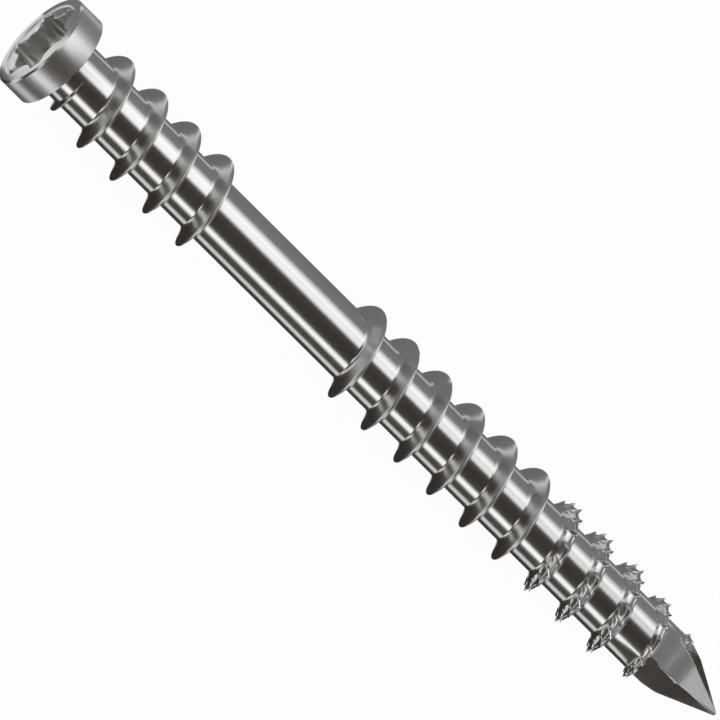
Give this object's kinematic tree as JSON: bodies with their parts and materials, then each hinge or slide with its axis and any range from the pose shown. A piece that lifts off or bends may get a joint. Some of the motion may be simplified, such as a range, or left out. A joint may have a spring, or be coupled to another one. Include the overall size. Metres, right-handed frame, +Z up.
{
  "type": "deck screw",
  "caption": "Deck screw with a small cylindrical head, six-lobe socket, short thread under the head, plain shank and a long lower thread that is serrated towards a faceted point.",
  "frame": {"origin": "on the screw's axis, in the plane of the seat under the head", "axes": "+X along the screw's axis from the head towards the point, +Z up with the screw lying down"},
  "size_m": [0.0511, 0.0056, 0.0056],
  "materials": {
    "stainless_steel": "polished"
  },
  "bodies": {
    "root": {"deck_screw": "stainless_steel"}
  },
  "joints": []
}
